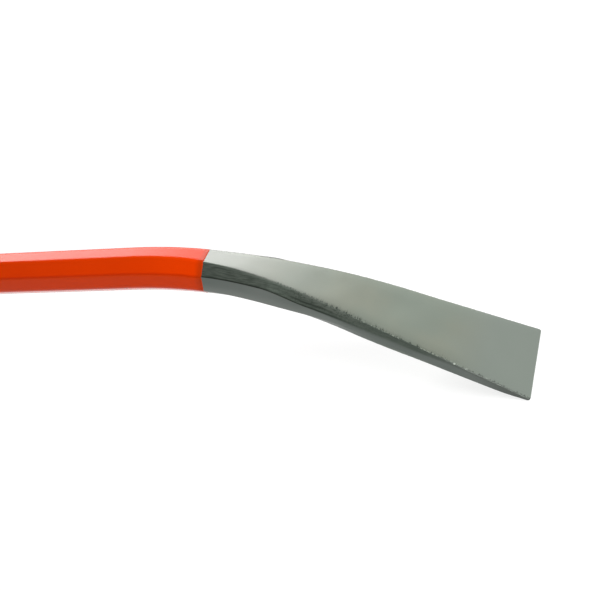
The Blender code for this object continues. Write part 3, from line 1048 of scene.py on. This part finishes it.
def pale_floor():
    """Floor whose own tone shows white to the camera and in gloss, and keeps a soft shadow."""
    corners = [(-FLOOR_HALF, -FLOOR_HALF, 0), (FLOOR_HALF, -FLOOR_HALF, 0),
               (FLOOR_HALF, FLOOR_HALF, 0), (-FLOOR_HALF, FLOOR_HALF, 0)]
    mesh = bpy.data.meshes.new("floor")
    mesh.from_pydata(corners, [], [(0, 1, 2, 3)])
    floor = linked("floor", mesh)
    finish = bpy.data.materials.new("pale_floor")
    finish.use_nodes = True
    tree = finish.node_tree
    tree.nodes.clear()
    spot = add(tree, "ShaderNodeTexCoord").outputs["Object"]
    length = add(tree, "ShaderNodeVectorMath", {0: spot}, operation="LENGTH")
    far = eased(tree, socket(length.outputs, "Value"), *FAR_FLOOR)
    paint = add(tree, "ShaderNodeBsdfDiffuse", {"Color": grey(0.8)})
    faint = add(tree, "ShaderNodeBsdfDiffuse", {"Color": grey(0.30)})
    glow = add(tree, "ShaderNodeEmission", {
        "Color": grey(1),
        "Strength": maths(tree, "MULTIPLY_ADD", far, FAR_FLOOR_GLOW, FLOOR_GLOW),
    })
    white = add(tree, "ShaderNodeAddShader", {0: faint.outputs[0], 1: glow.outputs[0]})
    seen = shown_in_gloss(tree)
    both = add(tree, "ShaderNodeMixShader", {0: seen, 1: paint.outputs[0], 2: white.outputs[0]})
    add(tree, "ShaderNodeOutputMaterial", {"Surface": both.outputs[0]})
    mesh.materials.append(finish)


def studio_world():
    """White walls all round, dimmer as light than they look, under a dark ceiling."""
    world = bpy.data.worlds.new("studio")
    bpy.context.scene.world = world
    world.use_nodes = True
    tree = world.node_tree
    direction = add(tree, "ShaderNodeTexCoord").outputs["Generated"]
    height = parts(tree, direction)[2]
    seen = shown_in_gloss(tree)
    wall = blended(tree, seen, grey(0.55), grey(1.0))
    upper_wall = blended(tree, seen, grey(0.2), grey(0.5))
    ceiling = blended(tree, seen, grey(0.05), grey(0.15))
    walls = blended(tree, eased(tree, height, 0.38, 0.52), wall, upper_wall)
    tone = blended(tree, eased(tree, height, 0.62, 0.78), walls, ceiling)
    tree.links.new(tone, tree.nodes["Background"].inputs["Color"])


def softbox(name, bearing, height, distance, size, radiance):
    """Rectangular soft light that faces the bend from a bearing and height in degrees."""
    bearing = math.radians(bearing)
    height = math.radians(height)
    level = math.cos(height)
    away = Vector((math.sin(bearing) * level, math.cos(bearing) * level, math.sin(height)))
    lamp = bpy.data.lights.new(name, "AREA")
    lamp.shape = "RECTANGLE"
    lamp.size, lamp.size_y = size
    lamp.energy = radiance * math.pi * size[0] * size[1]
    box = linked(name, lamp)
    box.location = BEND + away * distance
    box.rotation_euler = (-away).to_track_quat("-Z", "Y").to_euler()
    box.visible_camera = False


def studio_lights():
    """Two softboxes behind the bar and a small bright one in front of it."""
    softbox("rear_softbox", bearing=-25.5, height=36, distance=1.2, size=(1.0, 0.55), radiance=5.35)
    softbox("middle_softbox", bearing=8, height=40, distance=1.2, size=(0.5, 0.55), radiance=2.35)
    softbox("front_softbox", bearing=112, height=36, distance=0.6, size=(0.38, 0.38), radiance=7.6)


def picture_camera():
    """Camera above and in front of the chisel end."""
    lens = bpy.data.cameras.new("picture_camera")
    lens.sensor_width = SENSOR_WIDTH
    lens.lens = LENS_PIXELS / PICTURE_LONG_SIDE * SENSOR_WIDTH
    lens.clip_start = 0.01
    lens.clip_end = 50
    camera = linked("picture_camera", lens)
    forward = CAMERA_RIGHT.cross(CAMERA_DOWN)
    turn = Matrix((CAMERA_RIGHT, -CAMERA_DOWN, -forward)).transposed()
    camera.matrix_world = Matrix.Translation(CAMERA_PLACE) @ turn.to_4x4()
    bpy.context.scene.camera = camera


def ride_and_replace(piece, node):
    """Dress a node of the frame with the piece."""
    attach(piece, "root")
    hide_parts(node)


def build_bar():
    """The enamelled shaft and the two bare ends."""
    tree = bar_skin_tree()
    plain = octagon_profile(PLAIN_COLUMNS)
    fine = octagon_profile(FINE_COLUMNS)
    cutter = slot_cutter()
    shaft = skinned("enamelled_shaft", shaft_cuts(), tree, plain, orange_enamel())
    chisel_line = end_cuts(chisel_station, chisel_section, CHISEL_PAINT_RUN, CHISEL_RUN,
                           TIP_CORNER_RADIUS, CHISEL_SPACING)
    chisel_finish = bare_steel("ground_chisel_steel", CHISEL_RAGGED)
    chisel = skinned("forged_chisel", chisel_line, tree, fine, chisel_finish, CHISEL_WANDER)
    claw_line = end_cuts(claw_station, claw_section, claw_paint_run(), claw_run(),
                         CLAW_CORNER_RADIUS, CLAW_SPACING)
    claw_finish = bare_steel("ground_claw_steel", CLAW_RAGGED)
    claw = skinned("split_claw", claw_line, tree, fine, claw_finish, CLAW_WANDER, cutter)
    for helper in (plain, fine, cutter):
        bpy.data.objects.remove(helper)
    ride_and_replace(shaft, "painted_shaft")
    ride_and_replace(chisel, "chisel_end")
    ride_and_replace(claw, "claw_end")


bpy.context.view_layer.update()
bpy.context.scene.view_settings.view_transform = "Standard"
build_bar()
pale_floor()
studio_world()
studio_lights()
picture_camera()
